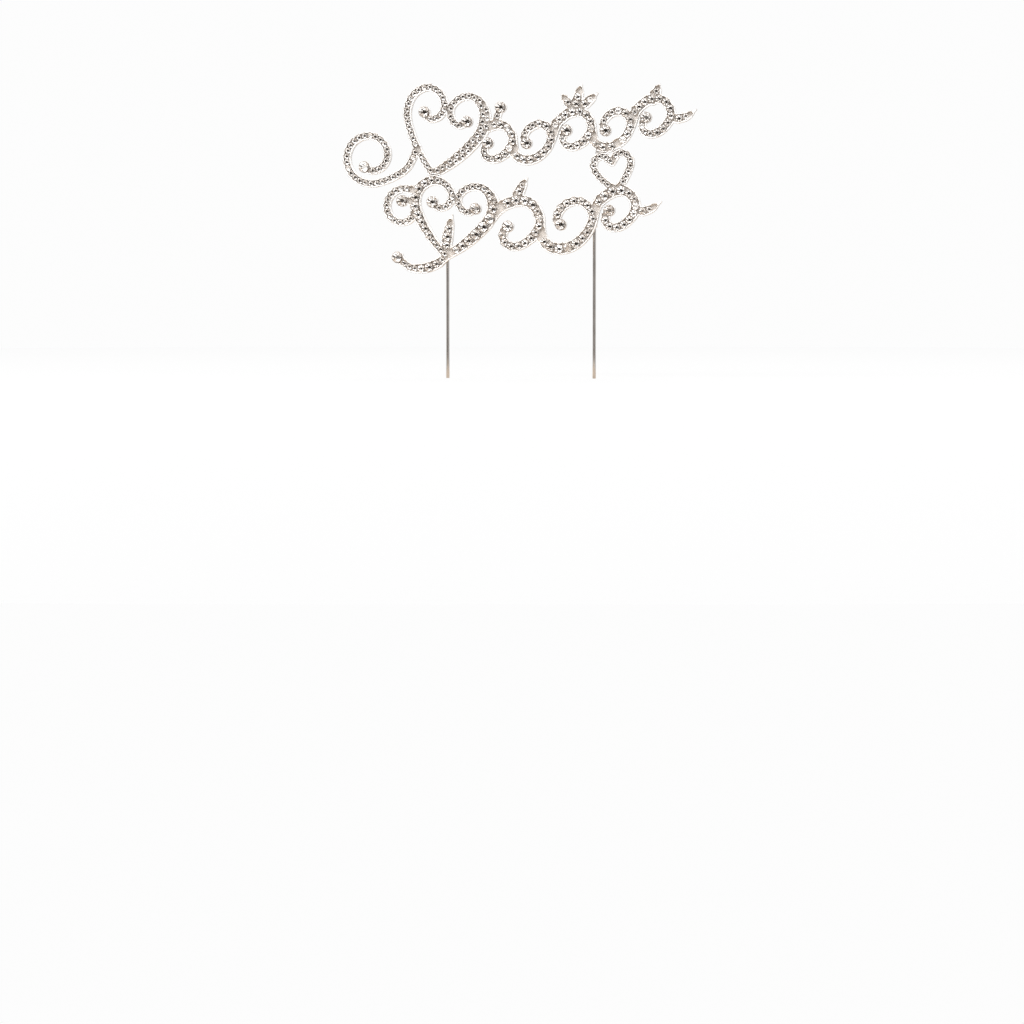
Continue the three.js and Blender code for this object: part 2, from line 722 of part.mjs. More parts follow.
function rowSolid(row) {
  const { stones } = row;
  const last = stones.length - 1;
  const headings = stones.map((stone, i) => (
    headingBetween(stones[Math.max(i - 1, 0)].centre, stones[Math.min(i + 1, last)].centre)));
  const solids = stones.map((stone, i) => stoneSolid(stone, headings[i], last > 0 ? cornerShare : 1));
  for (let i = 1; i <= last; i += 1) {
    const [from, to] = [stones[i - 1], stones[i]];
    const towards = headingBetween(from.centre, to.centre);
    const reach = stoneReach(from, headings[i - 1], towards) + stoneReach(to, headings[i], towards);
    if (reach < from.centre.distanceTo(to.centre) + leastJoin) solids.push(glueSolid(from.centre, to.centre));
  }
  return tidied(joined(solids));
}

// Stands a drawn solid up: drawing Y becomes Z, depth runs towards -Y
function stoodUp(geometry) {
  geometry.applyMatrix4(new THREE.Matrix4().set(
    1, 0, 0, 0,
    0, 0, -1, 0,
    0, 1, 0, 0,
    0, 0, 0, 1,
  ));
  return geometry;
}

// Sockets: a tube along Z with a flat seat against the casting, closed at the top
function socketGeometry() {
  const half = socketOuter / 2;
  const outline = new THREE.Shape();
  outline.moveTo(-half, -half);
  outline.lineTo(half, -half);
  outline.lineTo(half, 0);
  outline.absarc(0, 0, half, 0, Math.PI, false);
  outline.lineTo(-half, -half);
  const body = toSolid(new THREE.ExtrudeGeometry(
    outline, { depth: socketDepth + socketEndWall, bevelEnabled: false, curveSegments: roundSides / 2 }));
  const bore = new THREE.CylinderGeometry(
    socketBore / 2, socketBore / 2, socketDepth + overrun, roundSides);
  bore.rotateX(Math.PI / 2);
  bore.translate(0, 0, (socketDepth - overrun) / 2);
  return toGeometry(body.subtract(toSolid(bore)));
}

// A stake: a rod with a ground point below and a small chamfer above
function stakeGeometry(socketMouth) {
  const radius = stakeDiameter / 2;
  const top = socketMouth + socketDepth - stakeEndGap;
  const profile = [
    [0, -stakeSunkLength],
    [stakeTipDiameter / 2, -stakeSunkLength],
    [radius, stakePointLength - stakeSunkLength],
    [radius, top - stakeTopChamfer],
    [radius - stakeTopChamfer, top],
    [0, top],
  ];
  const geometry = new THREE.LatheGeometry(
    profile.map(([across, up]) => new THREE.Vector2(across, up)), roundSides);
  geometry.rotateX(Math.PI / 2);
  return geometry;
}

// Solder: a low dome on the flat backs, over the seam between the castings
function solderGeometry() {
  const radius = solderDiameter / 2;
  const sphere = (radius * radius + solderHeight * solderHeight) / (2 * solderHeight);
  const halfAngle = Math.asin(radius / sphere);
  const profile = [new THREE.Vector2(0, 0)];
  for (let i = 0; i <= solderSteps; i += 1) {
    const angle = halfAngle * (1 - i / solderSteps);
    profile.push(new THREE.Vector2(
      i < solderSteps ? sphere * Math.sin(angle) : 0,
      i > 0 ? sphere * Math.cos(angle) - (sphere - solderHeight) : 0,
    ));
  }
  return new THREE.LatheGeometry(profile, roundSides);
}

// Finishes
const platedMetal = new THREE.MeshStandardMaterial({ color: 0xd8d5d1, roughness: 0.22, metalness: 1 });
const steelRod = new THREE.MeshStandardMaterial({ color: 0x8c8680, roughness: 0.25, metalness: 1 });
const solderMetal = new THREE.MeshStandardMaterial({ color: 0xb9b6b2, roughness: 0.45, metalness: 1 });
const clearStone = new THREE.MeshStandardMaterial({ color: 0xc9c3bd, roughness: 0.05, metalness: 0.2 });

const topper = new THREE.Group();

function addPiece(name, geometry, material, x, y, z) {
  const mesh = new THREE.Mesh(geometry, material.clone());
  mesh.name = name;
  mesh.position.set(x, y, z);
  topper.add(mesh);
}

const upper = upperStrokes();
const lower = lowerStrokes();

addPiece('lower_casting', stoodUp(toGeometry(lowerCasting(lower))), platedMetal, 0, castingBack, 0);
addPiece('upper_casting', stoodUp(toGeometry(upperCasting(upper, lower))), platedMetal, 0, castingBack, 0);

const rows = [...stoneRows(upper, seamPlaces(lower)), ...stoneRows(lower, [])];
for (const row of rows) {
  addPiece(row.name, stoodUp(toGeometry(rowSolid(row))), clearStone, 0, castingBack, 0);
}

const seams = {
  left_solder_joint: heartSpot(lowerHeart, -1, heartLobeShare).add(new THREE.Vector2(0, thickStroke / 2)),
  right_solder_joint: heartSpot(linkHeart, -1, linkLobeShare).add(new THREE.Vector2(0, thinStroke / 2)),
};
for (const [name, place] of Object.entries(seams)) {
  addPiece(name, solderGeometry(), solderMetal, place.x, castingBack, place.y);
}

const leftMouth = lowerHeartLift + leftMouthAboveTip;
const rightMouth = stakeJunction.y - rightMouthBelowJunction;
addPiece('left_socket', socketGeometry(), platedMetal, -stakeSpacing / 2, 0, leftMouth);
addPiece('right_socket', socketGeometry(), platedMetal, stakeSpacing / 2, 0, rightMouth);
addPiece('left_stake', stakeGeometry(leftMouth), steelRod, -stakeSpacing / 2, 0, 0);
addPiece('right_stake', stakeGeometry(rightMouth), steelRod, stakeSpacing / 2, 0, 0);

export default topper;
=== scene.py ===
# A rhinestone topper: two tiers of silver-plated scrollwork set with cut crystal, on two steel stakes.
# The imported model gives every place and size; this file gives each piece its fine shape and finish.
# Lengths are metres in the model's frame: X to the right, Z up, and the stones face -Y.

import math
import random

import bmesh
import bpy
from mathutils import Matrix, Vector, geometry, kdtree, noise
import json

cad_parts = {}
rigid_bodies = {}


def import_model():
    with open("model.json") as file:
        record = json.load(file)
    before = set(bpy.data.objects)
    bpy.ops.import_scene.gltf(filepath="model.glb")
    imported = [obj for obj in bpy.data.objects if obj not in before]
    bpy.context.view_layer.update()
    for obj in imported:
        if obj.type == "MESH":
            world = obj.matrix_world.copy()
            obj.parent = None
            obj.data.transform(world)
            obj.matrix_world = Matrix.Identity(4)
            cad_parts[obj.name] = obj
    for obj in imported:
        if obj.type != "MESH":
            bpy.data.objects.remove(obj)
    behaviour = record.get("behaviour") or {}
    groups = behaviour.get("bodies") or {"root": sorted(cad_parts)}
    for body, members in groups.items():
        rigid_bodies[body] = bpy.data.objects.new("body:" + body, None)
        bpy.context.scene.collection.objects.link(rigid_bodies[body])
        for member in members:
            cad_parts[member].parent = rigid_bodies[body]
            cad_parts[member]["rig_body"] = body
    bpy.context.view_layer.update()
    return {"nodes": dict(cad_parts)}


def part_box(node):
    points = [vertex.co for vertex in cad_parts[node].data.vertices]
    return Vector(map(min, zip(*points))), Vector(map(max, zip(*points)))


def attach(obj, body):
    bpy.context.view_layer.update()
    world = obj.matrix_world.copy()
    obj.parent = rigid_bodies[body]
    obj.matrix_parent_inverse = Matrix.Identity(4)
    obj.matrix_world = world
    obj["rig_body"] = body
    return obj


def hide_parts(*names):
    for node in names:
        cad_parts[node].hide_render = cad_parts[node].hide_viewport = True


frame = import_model()
mm = 0.001


# Camera. The photographer stood a little to the right of the topper's middle, with a long lens at the
# height of the stakes, tipped slightly down, so that the ornament is seen against plain white.
photo_side = 1024
photo_pixel = 0.46 * mm
focal_pixels = 3160
entry_row = 378
horizon_row = 305
middle_column = 520.85
camera_azimuth = math.radians(10)
near_clip = 0.05
far_clip = 40


def linked(name, data):
    """A new object of some data, linked to the scene."""
    made = bpy.data.objects.new(name, data)
    bpy.context.scene.collection.objects.link(made)
    return made


aim = Vector(((photo_side / 2 - middle_column) * photo_pixel, 0, (entry_row - photo_side / 2) * photo_pixel))
eye_distance = focal_pixels * photo_pixel
eye = Vector((
    aim.x + eye_distance * math.sin(camera_azimuth),
    -eye_distance * math.cos(camera_azimuth),
    (entry_row - horizon_row) * photo_pixel,
))
lens = bpy.data.cameras.new("photographer")
lens.sensor_width = 36
lens.lens = focal_pixels / photo_side * lens.sensor_width
lens.clip_start = near_clip
lens.clip_end = far_clip
camera = linked("photographer", lens)
camera.location = eye
camera.rotation_euler = (aim - eye).to_track_quat("-Z", "Y").to_euler()
bpy.context.scene.camera = camera


# Castings. Each tier is one zinc casting: flat at the back, with a channel in front that follows every
# stroke and closes in round each stone. The faces of its rims, their inner edges and the front of its sides are
# polished, and the back stays dull. The channel is plated darker and warmer. The rims' rounded outer edges, the
# back's rounded edge and the strip of the sides next to the back are duller and dark brown. This brown is
# painted shade that draws a dark line round every stroke. The outlines are the solids', with their facets drawn
# out into curves.
casting_nodes = ("lower_casting", "upper_casting")
casting_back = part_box("lower_casting")[1].y
casting_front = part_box("lower_casting")[0].y
channel_depth = 1 * mm
cad_floor = casting_front + channel_depth
floor_thickness = 0.55 * mm
seat_floor = casting_back - floor_thickness
rim_round = 0.09 * mm
back_round = 0.2 * mm
# How far the dark brown painted shade reaches along the outer wall from the back.
painted_shade_strip_width = 0.9 * mm
polished, dull, channel_skin, painted_shade_skin = range(4)
round_steps = 3
weld = 0.002 * mm
flatness = 5 * weld
shortest_facet = 10 * weld
corner_turn = math.radians(50)
smoothings = 3
corner_cut = 0.25
sharp_edge = math.radians(35)
seat_gap = 0.11 * mm
longest_draw = 0.36 * mm
loosest_gap = 1.1 * mm
least_rim = 0.22 * mm
rim_search = 0.04 * mm
corner_span = 40
span_before = 2
slackening = 0.6
most_tries = 12
table_clearance = 1 * mm
least_facing = 0.99
stone_height_share = 0.48
touching_share = 1.05
tarnish_patch = 7 * mm
pit_size = 0.5 * mm
pit_depth = 0.05 * mm


class Wire:
    """A socket in a node tree: sums on it add Math nodes, and node() adds any other node."""

    def __init__(self, tree, socket=None):
        self.tree = tree
        self.socket = socket

    def node(self, kind, settings, sockets, output=0):
        made = self.tree.nodes.new(kind)
        for name, value in settings.items():
            setattr(made, name, value)
        for name, value in sockets.items():
            if isinstance(value, Wire):
                self.tree.links.new(value.socket, made.inputs[name])
            else:
                made.inputs[name].default_value = value
        return Wire(self.tree, made.outputs[output] if made.outputs else None)

    def sum(self, operation, one, other):
        return self.node("ShaderNodeMath", {"operation": operation}, {0: one, 1: other})

    def __add__(self, other):
        return self.sum("ADD", self, other)

    def __radd__(self, other):
        return self.sum("ADD", other, self)

    def __sub__(self, other):
        return self.sum("SUBTRACT", self, other)

    def __rsub__(self, other):
        return self.sum("SUBTRACT", other, self)

    def __mul__(self, other):
        return self.sum("MULTIPLY", self, other)

    def __rmul__(self, other):
        return self.sum("MULTIPLY", other, self)

    def __abs__(self):
        return self.sum("ABSOLUTE", self, 0.0)

    def larger(self, other):
        return self.sum("MAXIMUM", self, other)

    def eased(self, low, high):
        sockets = {"Value": self, "From Min": low, "From Max": high}
        return self.node("ShaderNodeMapRange", {"interpolation_type": "SMOOTHSTEP"}, sockets)

    def blend(self, low, high):
        """Mixes two colours, each a triple or a wire that carries one, by this share."""
        low, high = (tone if isinstance(tone, Wire) else (*tone, 1) for tone in (low, high))
        return self.node("ShaderNodeMix", {"data_type": "RGBA"}, {0: self, 6: low, 7: high}, 2)

    def part(self, axis):
        return self.node("ShaderNodeSeparateXYZ", {}, {"Vector": self}, axis)


def new_finish(name):
    material = bpy.data.materials.new(name)
    material.use_nodes = True
    material.node_tree.nodes.clear()
    return material, Wire(material.node_tree)


def surface(wire, sockets):
    shader = wire.node("ShaderNodeBsdfPrincipled", {}, sockets)
    wire.node("ShaderNodeOutputMaterial", {}, {"Surface": shader})


def object_place(wire):
    return wire.node("ShaderNodeTexCoord", {}, {}, "Object")


def grain(wire, size, detail):
    """Noise whose patches are about as wide as size."""
    sockets = {"Vector": object_place(wire), "Scale": 1 / size, "Detail": detail}
    return wire.node("ShaderNodeTexNoise", {}, sockets, "Fac")


def bumped(wire, heights, strength, depth):
    return wire.node("ShaderNodeBump", {}, {"Height": heights, "Strength": strength, "Distance": depth})


def plate_finish(name, clean, tarnished, roughness, pit_strength):
    """Plated metal, clean or tarnished in wide patches and pitted all over."""
    material, wire = new_finish(name)
    tarnish = grain(wire, tarnish_patch, 4.0).eased(0.45, 0.75)
    pits = grain(wire, pit_size, 3.0)
    surface(wire, {
        "Base Color": tarnish.blend(clean, tarnished),
        "Metallic": 1.0,
        "Roughness": roughness + 0.1 * tarnish + 0.08 * pits,
        "Normal": bumped(wire, pits, pit_strength, pit_depth),
    })
    return material


silver_plate = plate_finish("silver_plate", (0.98, 0.975, 0.965), (0.94, 0.92, 0.895), 0.36, 0.12)
dull_plate = plate_finish("dull_plate", (0.54, 0.53, 0.515), (0.4, 0.385, 0.37), 0.4, 0.3)
channel_plate = plate_finish("channel_plate", (0.74, 0.7, 0.66), (0.62, 0.575, 0.535), 0.38, 0.3)
# The dark brown edge plate is painted shade: a dark line round the outer edges of every stroke.
painted_shade_edge_plate = plate_finish("painted_shade_edge_plate", (0.36, 0.32, 0.29), (0.27, 0.235, 0.21), 0.42, 0.3)
casting_finishes = [silver_plate, dull_plate, channel_plate, painted_shade_edge_plate]


def solid_mesh(node):
    """A node's solid as a mesh whose faces share their corners."""
    mesh = bmesh.new()
    mesh.from_mesh(frame["nodes"][node].data)
    bmesh.ops.remove_doubles(mesh, verts=mesh.verts, dist=weld)
    return mesh


def casting_outlines(node, depth):
    """The closed outlines of a casting's flat faces at one depth, with the metal on a known side."""
    mesh = solid_mesh(node)
    flat = dict.fromkeys(
        face for face in mesh.faces if all(abs(corner.co.y - depth) < flatness for corner in face.verts))
    following = {}
    for face in flat:
        for corner in face.loops:
            if sum(other in flat for other in corner.edge.link_faces) == 1:
                following.setdefault(corner.vert, []).append(corner.link_loop_next.vert)
    outlines = []
    while following:
        start = next(iter(following))
        outline = []
        here = start
        while here in following:
            outline.append(Vector((here.co.x, here.co.z)))
            ahead = following[here].pop()
            if not following[here]:
                del following[here]
            here = ahead
            if here is start:
                break
        if len(outline) > 2:
            outlines.append(rounded_outline(outline))
    mesh.free()
    return outlines


def rounded_outline(outline):
    """Draws the facets of an outline out into a curve, and leaves its true corners."""
    points = [point for i, point in enumerate(outline) if (point - outline[i - 1]).length > shortest_facet]
    sharp = []
    for i, point in enumerate(points):
        arriving = point - points[i - 1]
        leaving = points[(i + 1) % len(points)] - point
        sharp.append(abs(arriving.angle_signed(leaving, 0)) > corner_turn)
    for _ in range(smoothings):
        finer = []
        for i, point in enumerate(points):
            if sharp[i]:
                finer.append((point, True))
                continue
            finer.append((point.lerp(points[i - 1], corner_cut), False))
            finer.append((point.lerp(points[(i + 1) % len(points)], corner_cut), False))
        points = [point for point, _ in finer]
        sharp = [is_sharp for _, is_sharp in finer]
    return points


def stone_tables(node):
    """The middle of each stone's table in a row's solid."""
    mesh = solid_mesh(node)
    deepest = cad_floor - table_clearance
    facets = {face for face in mesh.faces
              if face.normal.y < -least_facing and face.calc_center_median().y < deepest}
    middles = []
    while facets:
        group = [facets.pop()]
        for face in group:
            for edge in face.edges:
                for other in edge.link_faces:
                    if other in facets:
                        facets.remove(other)
                        group.append(other)
        area = sum(face.calc_area() for face in group)
        middles.append(sum((face.calc_center_median() * face.calc_area() for face in group), Vector()) / area)
    mesh.free()
    return sorted(middles, key=lambda middle: (middle.x, middle.z))


def stone_size(table):
    """A stone's diameter, from how far its table stands over the channel's floor."""
    return (cad_floor - table.y) / stone_height_share * touching_share


def metal_side(points):
    """The direction from each point of an outline into the metal."""
    sides = []
    for i, point in enumerate(points):
        along = (point - points[i - 1]).normalized() + (points[(i + 1) % len(points)] - point).normalized()
        sides.append(Vector((along.y, -along.x)).normalized())
    return sides


def crosses_itself(points, i):
    """Whether the stretch of an outline that ends at point i meets another one near it."""
    ends = [(i + step) % len(points) for step in range(2, min(corner_span, len(points) - 1))]
    return any(
        geometry.intersect_line_line_2d(points[i - 1], points[i], points[end - 1], points[end]) for end in ends)


def search_tree(outlines):
    """A tree that finds the nearest place on some outlines."""
    spots = []
    for points in outlines:
        for i, point in enumerate(points):
            steps = math.ceil((point - points[i - 1]).length / rim_search)
            spots += [points[i - 1].lerp(point, step / steps) for step in range(steps)]
    tree = kdtree.KDTree(len(spots))
    for i, spot in enumerate(spots):
        tree.insert((spot.x, spot.y, 0), i)
    tree.balance()
    return tree


def drawn_in(points, outer_tree):
    """Draws a channel's wall in towards the stones that it stands clear of, and less at tight corners."""
    sides = metal_side(points)
    least = [max(least_rim - outer_tree.find((point.x, point.y, 0))[2], 0) for point in points]
    gaps = [min((point - middle).length - radius for middle, radius in stone_rounds) for point in points]
    reaches = [max(min(gap - seat_gap, longest_draw, loosest_gap - gap), low) for gap, low in zip(gaps, least)]
    for _ in range(most_tries):
        closer = [point - side * reach for point, side, reach in zip(points, sides, reaches)]
        tangled = [i for i in range(len(points)) if crosses_itself(closer, i)]
        if not tangled:
            return closer
        for first in tangled:
            for step in range(-span_before, corner_span // 2):
                near = (first + step) % len(points)
                reaches[near] = max(slackening * reaches[near], least[near])
    return closer


def quarter_round(radius, edge, inward):
    """Steps round a rim, as (inset, depth), from its wall to its face; inward is the way off the face."""
    steps = [math.pi / 2 * step / round_steps for step in range(round_steps + 1)]
    return [(radius * (1 - math.cos(turn)), edge + inward * radius * (1 - math.sin(turn))) for turn in steps]


def wall(mesh, lower, upper, finish=0):
    """Joins two closed rings of corners with a band of faces."""
    for i in range(len(lower)):
        mesh.faces.new((lower[i - 1], lower[i], upper[i], upper[i - 1])).material_index = finish


def swept_rings(mesh, outlines, profile, finishes):
    """Carries outlines along a profile of (inset, depth) steps and returns the first and last rings' edges."""
    first_edges, last_edges = [], []
    for points in outlines:
        sides = metal_side(points)
        rings = []
        for inset, depth in profile:
            rings.append([
                mesh.verts.new((point.x + side.x * inset, depth, point.y + side.y * inset))
                for point, side in zip(points, sides)])
        for lower, upper, finish in zip(rings, rings[1:], finishes):
            wall(mesh, lower, upper, finish)
        for ring, edges in ((rings[0], first_edges), (rings[-1], last_edges)):
            edges += [mesh.edges.get((ring[i - 1], ring[i])) for i in range(len(ring))]
    return first_edges, last_edges


def finished(name, mesh, materials, node, crease=sharp_edge):
    """Makes a piece of a mesh, which stands for a node and rides on the node's body."""
    bmesh.ops.recalc_face_normals(mesh, faces=mesh.faces)
    for face in mesh.faces:
        face.smooth = crease > 0
    for edge in mesh.edges:
        if edge.calc_face_angle(math.pi) > crease:
            edge.smooth = False
    data = bpy.data.meshes.new(name)
    mesh.to_mesh(data)
    mesh.free()
    for material in materials:
        data.materials.append(material)
    piece = linked(name, data)
    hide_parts(node)
    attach(piece, frame["nodes"][node]["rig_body"])
    return piece


stone_nodes = sorted(name for name in frame["nodes"] if "_stone" in name)
tables = {node: stone_tables(node) for node in stone_nodes}
stone_rounds = [
    (Vector((table.x, table.z)), stone_size(table) / 2) for middles in tables.values() for table in middles]

for node in casting_nodes:
    outer = casting_outlines(node, casting_back)
    outer_tree = search_tree(outer)
    channel = [drawn_in(points, outer_tree) for points in casting_outlines(node, cad_floor)]
    mesh = bmesh.new()
    back_edge = quarter_round(back_round, casting_back, -1)[::-1]
    front_edge = quarter_round(rim_round, casting_front, 1)
    outer_wall = back_edge + [(0, casting_back - painted_shade_strip_width)] + front_edge
    # The wall's rounded edges and its strip next to the back take the dark brown painted shade. The rest of the
    # wall is polished.
    wall_finishes = [painted_shade_skin] * (round_steps + 1) + [polished] + [painted_shade_skin] * round_steps
    back_ring, outer_rim = swept_rings(mesh, outer, outer_wall, wall_finishes)
    channel_wall = front_edge[::-1] + [(0, seat_floor)]
    inner_rim, floor_ring = swept_rings(mesh, channel, channel_wall, [polished] * round_steps + [channel_skin])
    for edges, finish in ((back_ring, dull), (outer_rim + inner_rim, polished), (floor_ring, channel_skin)):
        for edge in edges:
            edge.smooth = False
        for made in bmesh.ops.triangle_fill(mesh, edges=edges, use_beauty=False)["geom"]:
            if isinstance(made, bmesh.types.BMFace):
                made.material_index = finish
    piece = finished(node.replace("casting", "tier"), mesh, casting_finishes, node)


# Rhinestones. Clear lead-free crystal, machine-cut as round brilliants and foiled behind, one in each
# seat of the channel. They are dropped in by hand, so each is turned its own way and few lie quite true.
table_share = 0.29
star_share = 0.4
crown_share = 0.17
girdle_share = 0.03
lip_share = 0.045
lower_half_share = 0.2
mains = 8
culet_share = 0.15
small_pavilion = 0.38
large_pavilion = 0.465
small_tints = (0.7, 0.2, 0.1)
large_tints = (0.3, 0.35, 0.35)
largest_small = 2.8 * mm
most_tilt = math.radians(5)
foil_index = 3
# The girdle band's finish: lacquer whose dark brown is partly painted shade, a dark line round each stone.
lacquer_and_shade_index = 4


def stone_finish(name, clean, smeared):
    material, wire = new_finish(name)
    smears = grain(wire, 6 * mm, 4.0).eased(0.5, 0.75)
    surface(wire, {
        "Base Color": smears.blend(clean, smeared),
        "Roughness": 0.035 * smears,
        "IOR": 1.56,
        "Transmission Weight": 1.0,
    })
    return material


mirror_foil, foil = new_finish("mirror_foil")
mottle = grain(foil, 1.1 * mm, 3.0)
surface(foil, {
    "Base Color": mottle.blend((0.97, 0.965, 0.96), (0.9, 0.885, 0.87)),
    "Metallic": 1.0,
    "Roughness": 0.02 + 0.05 * mottle,
})
# The girdle band is partly the brown lacquer on the foil's edge and partly painted shade. It is widened and
# darkened into a dark line round each stone, where shade falls between neighbours.
lacquer_and_painted_shade, lip = new_finish("lacquer_and_painted_shade")
brushed_on = grain(lip, 0.4 * mm, 2.0)
surface(lip, {
    "Base Color": brushed_on.blend((0.13, 0.1, 0.08), (0.22, 0.18, 0.15)),
    "Roughness": 0.3 + 0.2 * brushed_on,
})
stone_finishes = [
    stone_finish("crystal_clear", (1.0, 1.0, 1.0), (0.98, 0.975, 0.965)),
    stone_finish("crystal_warm", (0.99, 0.98, 0.965), (0.97, 0.95, 0.925)),
    stone_finish("crystal_smoke", (0.88, 0.865, 0.85), (0.85, 0.825, 0.8)),
    mirror_foil,
    lacquer_and_painted_shade,
]


def brilliant(pavilion):
    """A round brilliant of diameter 1, girdle at 0 and table up +Z: corners, and faces with their finish."""
    step = 2 * math.pi / mains

    def around(radius, height, offset=0.0, count=mains):
        turns = [2 * math.pi * i / count + offset for i in range(count)]
        return [Vector((radius * math.cos(turn), radius * math.sin(turn), height)) for turn in turns]

    slope = crown_share / (0.5 - lip_share - table_share)
    star_height = crown_share - (star_share * math.cos(step / 2) - table_share) * slope
    lower_slope = pavilion / 0.5
    point_height = -girdle_share - pavilion
    lower_height = point_height + lower_half_share * math.cos(step / 2) * lower_slope
    culet_height = point_height + culet_share * math.cos(step / 2) * lower_slope
    table = around(table_share, crown_share)
    stars = around(star_share, star_height, step / 2)
    girdle = around(0.5 - lip_share, 0.0, 0.0, 2 * mains)
    keel = around(0.5, -girdle_share, 0.0, 2 * mains)
    halves = around(lower_half_share, lower_height, step / 2)
    culets = around(culet_share, culet_height, step / 2)
    corners = table + stars + girdle + keel + halves + culets
    first_star = mains
    first_girdle = 2 * mains
    first_half = 6 * mains
    first_culet = 7 * mains
    faces = [(tuple(range(mains)), 0), (tuple(range(first_culet, first_culet + mains)), foil_index)]
    for i in range(mains):
        after = (i + 1) % mains
        star, last_star = first_star + i, first_star + (i - 1) % mains
        main = first_girdle + 2 * i
        middle = main + 1
        next_main = first_girdle + 2 * after
        keel_main, keel_middle, keel_next = (corner + 2 * mains for corner in (main, middle, next_main))
        half, last_half = first_half + i, first_half + (i - 1) % mains
        flat, last_flat = first_culet + i, first_culet + (i - 1) % mains
        faces += [
            ((i, star, after), 0),
            ((i, last_star, main, star), 0),
            ((star, main, middle), 0),
            ((star, middle, next_main), 0),
            # The girdle band: lacquer darkened into a painted shade line round the stone.
            ((main, keel_main, keel_middle, middle), lacquer_and_shade_index),
            ((middle, keel_middle, keel_next, next_main), lacquer_and_shade_index),
            ((half, keel_middle, keel_main), foil_index),
            ((half, keel_next, keel_middle), foil_index),
            ((half, keel_main, last_half, last_flat, flat), foil_index),
        ]
    return corners, faces


small_brilliant = brilliant(small_pavilion)
large_brilliant = brilliant(large_pavilion)
stand = Matrix.Rotation(math.pi / 2, 4, "X")
hand = random.Random(7)

for node in stone_nodes:
    mesh = bmesh.new()
    for table in tables[node]:
        size = stone_size(table)
        is_small = size < largest_small
        cut_corners, cut_faces = small_brilliant if is_small else large_brilliant
        tilt = hand.uniform(-most_tilt, most_tilt)
        lean = Matrix.Rotation(tilt, 4, Vector((hand.uniform(-1, 1), hand.uniform(-1, 1), 0)))
        turn = Matrix.Rotation(hand.uniform(0, 2 * math.pi / mains), 4, "Z")
        seat = Matrix.Translation(table) @ stand @ Matrix.Translation((0, 0, -crown_share * size)) @ lean @ turn
        corners = [mesh.verts.new(seat @ (corner * size)) for corner in cut_corners]
        tint = hand.choices((0, 1, 2), small_tints if is_small else large_tints)[0]
        for face, finish in cut_faces:
            made = mesh.faces.new([corners[i] for i in face])
            made.material_index = finish or tint
    name = node.replace("_stones", "_brilliants").replace("_stone", "_brilliant")
    piece = finished(name, mesh, stone_finishes, node, crease=0)


# Solder joints. A bead of soft solder on the flat backs holds the tiers together at each place where
# they meet. It is run on with an iron before plating, so it is a low, slightly uneven dome.
solder_nodes = ("left_solder_joint", "right_solder_joint")
bead_rings = 10
bead_sides = 40
bead_unevenness = 0.16
bead_lumps = 3
bead_fullness = 0.75


def compass(count):
    """Directions spread evenly round a circle, as (across, out)."""
    turns = [2 * math.pi * i / count for i in range(count)]
    return [(math.cos(turn), math.sin(turn)) for turn in turns]


plated_solder, bead = new_finish("plated_solder")
ripple = grain(bead, 0.9 * mm, 3.0)
surface(bead, {
    "Base Color": ripple.blend((0.8, 0.79, 0.775), (0.68, 0.67, 0.655)),
    "Metallic": 1.0,
    "Roughness": 0.26 + 0.16 * ripple,
    "Normal": bumped(bead, ripple, 0.35, 0.06 * mm),
})

for node in solder_nodes:
    low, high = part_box(node)
    middle = (low + high) / 2
    radius = (high.x - low.x) / 2
    height = high.y - low.y
    mesh = bmesh.new()
    rings = []
    for ring in range(bead_rings + 1):
        lift = ring / bead_rings * math.pi / 2
        depth = low.y + height * math.sin(lift)
        spots = []
        for across, out in compass(bead_sides):
            lump = noise.noise(Vector((bead_lumps * across, bead_lumps * out, middle.x / mm)))
            wander = 1 - bead_unevenness * (0.5 + 0.5 * lump)
            reach = radius * wander * math.cos(lift) ** bead_fullness
            spots.append((middle.x + reach * across, depth, middle.z + reach * out))
        rings.append([mesh.verts.new(spot) for spot in (spots if ring < bead_rings else spots[:1])])
    for lower, upper in zip(rings, rings[1:-1]):
        wall(mesh, lower, upper)
    for side in range(bead_sides):
        mesh.faces.new((rings[-2][side - 1], rings[-2][side], rings[-1][0]))
    mesh.faces.new(rings[0])
    piece = finished(node.replace("joint", "bead"), mesh, [plated_solder], node, crease=math.radians(60))


# Sockets. Two short D-section tubes, milled from rod and soldered flat side down on the back of the lower
# casting before plating. Each has a blind bore with a countersunk mouth for its stake.
socket_nodes = ("left_socket", "right_socket")
socket_bore = 0.88 * mm
socket_end_wall = 1.2 * mm
mouth_flare = 0.14 * mm
socket_round = 0.1 * mm
socket_sides = 48


def turned(levels, middle):
    """A mesh round an upright axis, closed at both ends, from rings given as (shape, reach, level)."""
    mesh = bmesh.new()
    rings = []
    for shape, reach, level in levels:
        rings.append([
            mesh.verts.new((middle.x + reach * across, middle.y + reach * out, level))
            for across, out in shape])
    for lower, upper in zip(rings, rings[1:]):
        wall(mesh, lower, upper)
    mesh.faces.new(rings[0])
    mesh.faces.new(rings[-1])
    return mesh


for node in socket_nodes:
    low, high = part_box(node)
    middle = (low + high) / 2
    half = (high.x - low.x) / 2
    circle = compass(socket_sides)
    d_section = []
    for across, out in circle:
        squared = 1 / max(abs(across), abs(out)) if out < 0 else 1
        d_section.append((across * squared, out * squared))
    levels = [
        (circle, socket_bore, high.z - socket_end_wall),
        (circle, socket_bore, low.z + mouth_flare),
        (circle, socket_bore + mouth_flare, low.z),
        (d_section, half - socket_round, low.z),
        (d_section, half, low.z + socket_round),
        (d_section, half, high.z - socket_round),
        (d_section, half - socket_round, high.z),
    ]
    piece = finished(node.replace("socket", "stake_socket"), turned(levels, middle), [silver_plate], node)


